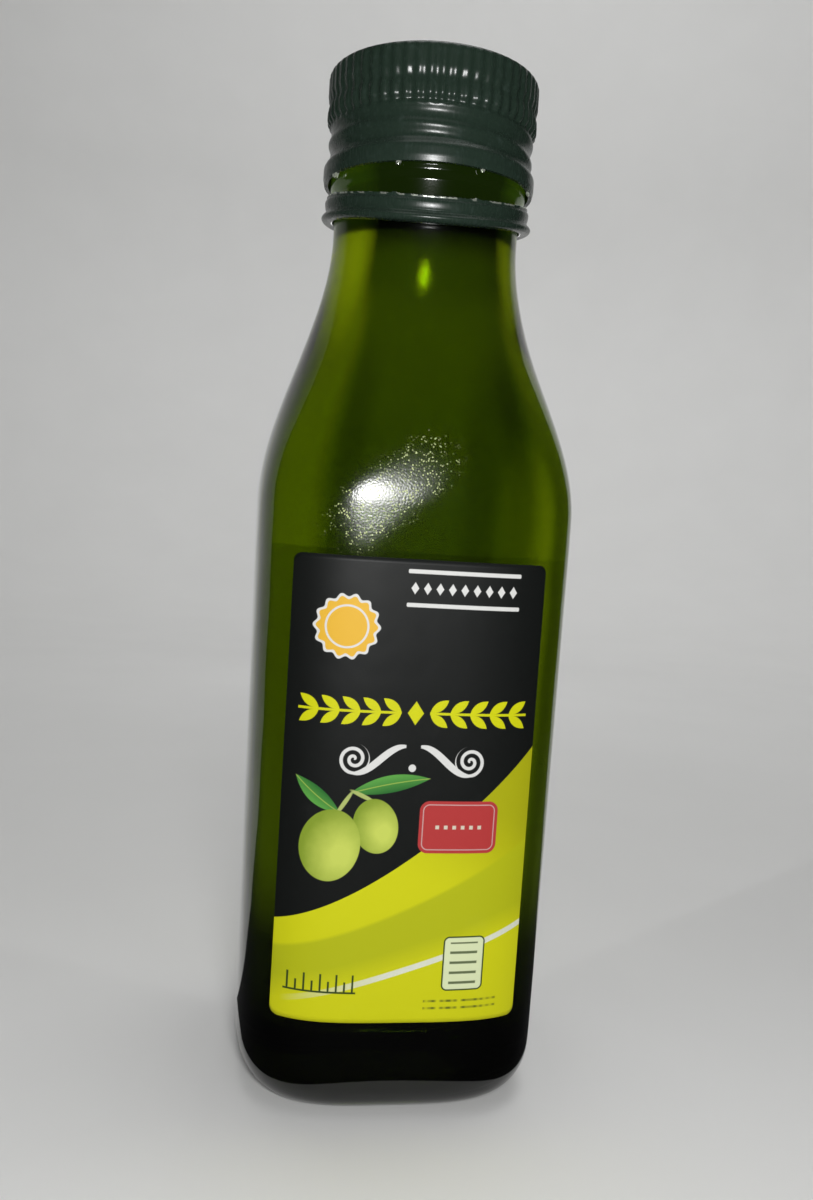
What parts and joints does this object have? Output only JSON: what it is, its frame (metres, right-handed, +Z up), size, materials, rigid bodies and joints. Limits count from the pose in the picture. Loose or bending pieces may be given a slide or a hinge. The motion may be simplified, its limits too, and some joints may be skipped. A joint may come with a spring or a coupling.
{
  "type": "olive oil bottle",
  "caption": "Square-shouldered green glass bottle of olive oil with a knurled metal screw cap, a loose tamper ring and paper labels.",
  "frame": {"origin": "centre of the foot, on the surface that the bottle stands on", "axes": "+Z up along the bottle, the front label facing -Y, +X to the right of the front label"},
  "size_m": [0.054, 0.055, 0.1748],
  "materials": {
    "green_glass": "clear, tinted olive green",
    "oil": "clear yellow-green liquid",
    "cap_metal": "glossy very dark green paint on aluminium",
    "label_paper": "satin, charcoal above and lime below",
    "back_label_paper": "satin, lime"
  },
  "bodies": {
    "root": {"bottle_glass": "green_glass", "oil": "oil", "cap": "cap_metal", "tamper_ring": "cap_metal", "label_front": "label_paper", "label_back": "back_label_paper"}
  },
  "joints": []
}
